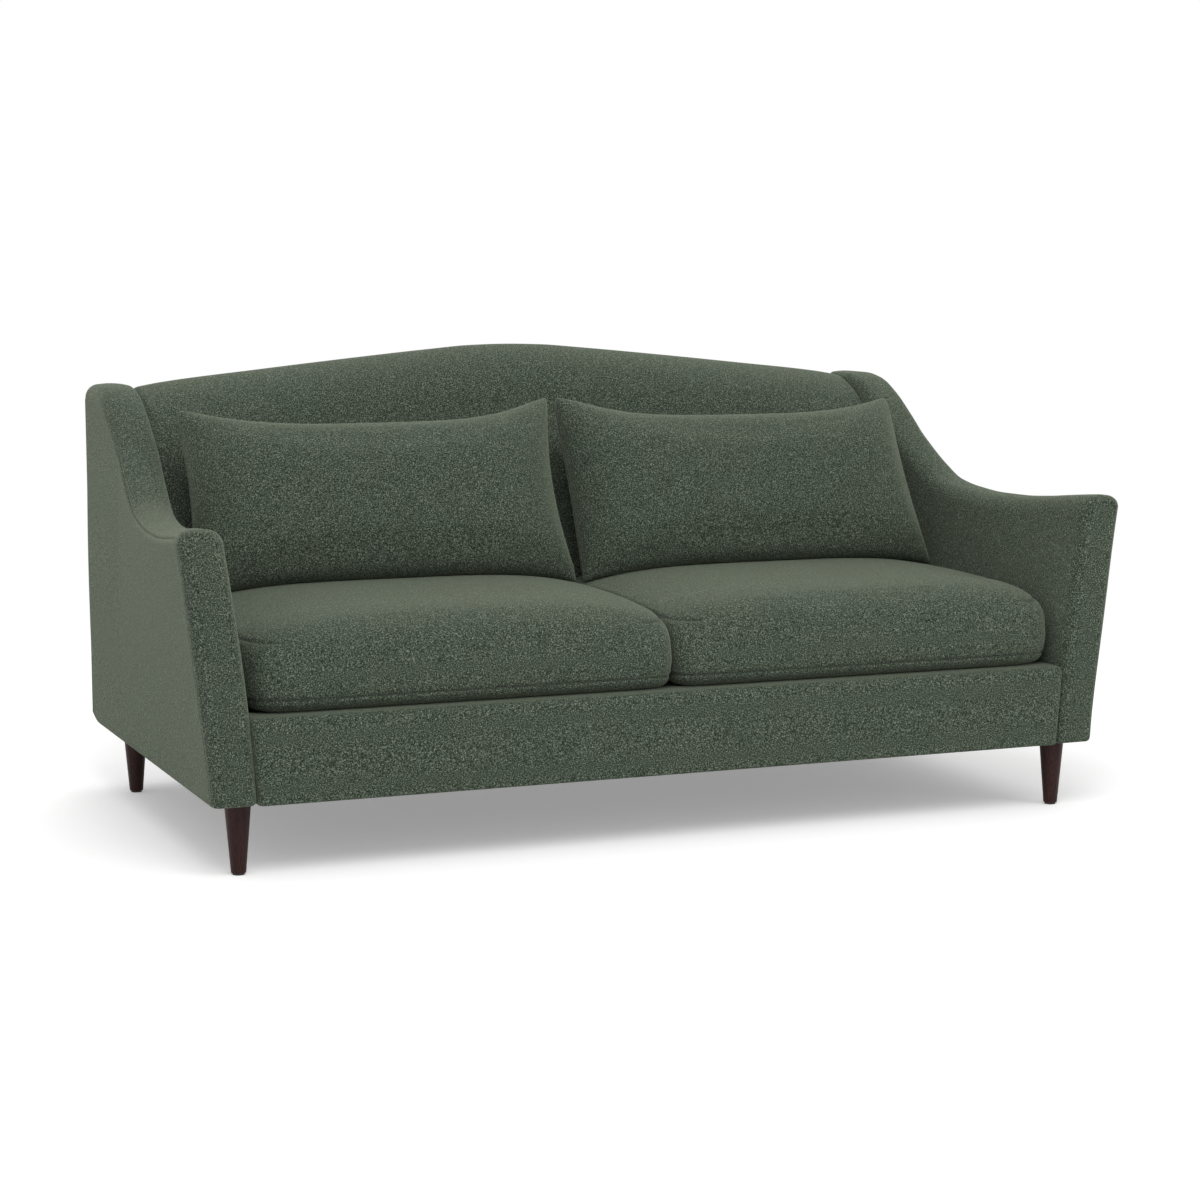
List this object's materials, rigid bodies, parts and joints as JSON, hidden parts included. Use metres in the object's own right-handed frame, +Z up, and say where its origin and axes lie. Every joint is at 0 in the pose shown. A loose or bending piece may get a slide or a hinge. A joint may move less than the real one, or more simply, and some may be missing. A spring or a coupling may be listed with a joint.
{
  "type": "sofa",
  "caption": "Camel-back sofa in a green woven cover, with swept flared arms, loose seat and back cushions and tapered round wooden legs.",
  "frame": {"origin": "on the floor under the middle of the sofa's bounding box", "axes": "X across to the viewer's right, Y from the front to the rear, Z up"},
  "size_m": [2, 1.068, 0.9623],
  "materials": {
    "green_weave": "matte boucle weave",
    "platform_cloth": "matte felt and twill",
    "dust_cloth": "matte non-woven",
    "foam": "matte open-cell foam",
    "fibre": "soft fibre in a calico case",
    "hardwood": "sawn beech",
    "plywood": "sanded birch ply",
    "dark_walnut": "satin stained",
    "webbing": "woven elastic",
    "steel": "zinc plated",
    "nylon": "moulded",
    "zip_nylon": "coil and tape"
  },
  "bodies": {
    "sofa_frame": {"left_arm_cover": "green_weave", "left_outside_arm": "green_weave", "left_arm_front_post": "hardwood", "left_arm_rear_post": "hardwood", "left_arm_top_rail": "hardwood", "left_back_bracket": "plywood", "left_seat_rail": "hardwood", "right_arm_cover": "green_weave", "right_outside_arm": "green_weave", "right_arm_front_post": "hardwood", "right_arm_rear_post": "hardwood", "right_arm_top_rail": "hardwood", "right_back_bracket": "plywood", "right_seat_rail": "hardwood", "front_legs": "dark_walnut", "rear_legs": "dark_walnut", "front_seat_rail": "hardwood", "rear_seat_rail": "hardwood", "back_foot_rail": "hardwood", "centre_seat_rail": "hardwood", "centre_back_bracket": "plywood", "back_top_rail": "hardwood", "back_roll_rail": "hardwood", "leg_blocks": "hardwood", "long_seat_straps": "webbing", "cross_seat_straps": "webbing", "back_straps": "webbing", "seat_platform": "platform_cloth", "inside_back_pad": "green_weave", "outside_back": "green_weave", "front_border": "green_weave", "dust_cover": "dust_cloth", "hanger_bolts": "steel", "leg_nuts": "steel", "leg_glides": "nylon"},
    "left_seat_cushion": {"left_seat_cushion_cover": "green_weave", "left_seat_cushion_core": "foam", "left_seat_zip": "zip_nylon"},
    "left_back_cushion": {"left_back_cushion_cover": "green_weave", "left_back_cushion_filling": "fibre"},
    "left_zip_slider": {"left_zip_slider": "steel"},
    "right_seat_cushion": {"right_seat_cushion_cover": "green_weave", "right_seat_cushion_core": "foam", "right_seat_zip": "zip_nylon"},
    "right_back_cushion": {"right_back_cushion_cover": "green_weave", "right_back_cushion_filling": "fibre"},
    "right_zip_slider": {"right_zip_slider": "steel"}
  },
  "joints": [
    {"name": "left_seat_cushion_lift", "type": "slide", "parent": "sofa_frame", "child": "left_seat_cushion", "axis": [0, 0, 1], "range_m": [0, 0.4]},
    {"name": "left_back_cushion_lift", "type": "slide", "parent": "left_seat_cushion", "child": "left_back_cushion", "axis": [0, 0, 1], "range_m": [0, 0.5]},
    {"name": "left_zip_slider_run", "type": "slide", "parent": "left_seat_cushion", "child": "left_zip_slider", "axis": [-1, 0, 0], "range_m": [0, 0.606]},
    {"name": "right_seat_cushion_lift", "type": "slide", "parent": "sofa_frame", "child": "right_seat_cushion", "axis": [0, 0, 1], "range_m": [0, 0.4]},
    {"name": "right_back_cushion_lift", "type": "slide", "parent": "right_seat_cushion", "child": "right_back_cushion", "axis": [0, 0, 1], "range_m": [0, 0.5]},
    {"name": "right_zip_slider_run", "type": "slide", "parent": "right_seat_cushion", "child": "right_zip_slider", "axis": [1, 0, 0], "range_m": [0, 0.606]}
  ]
}
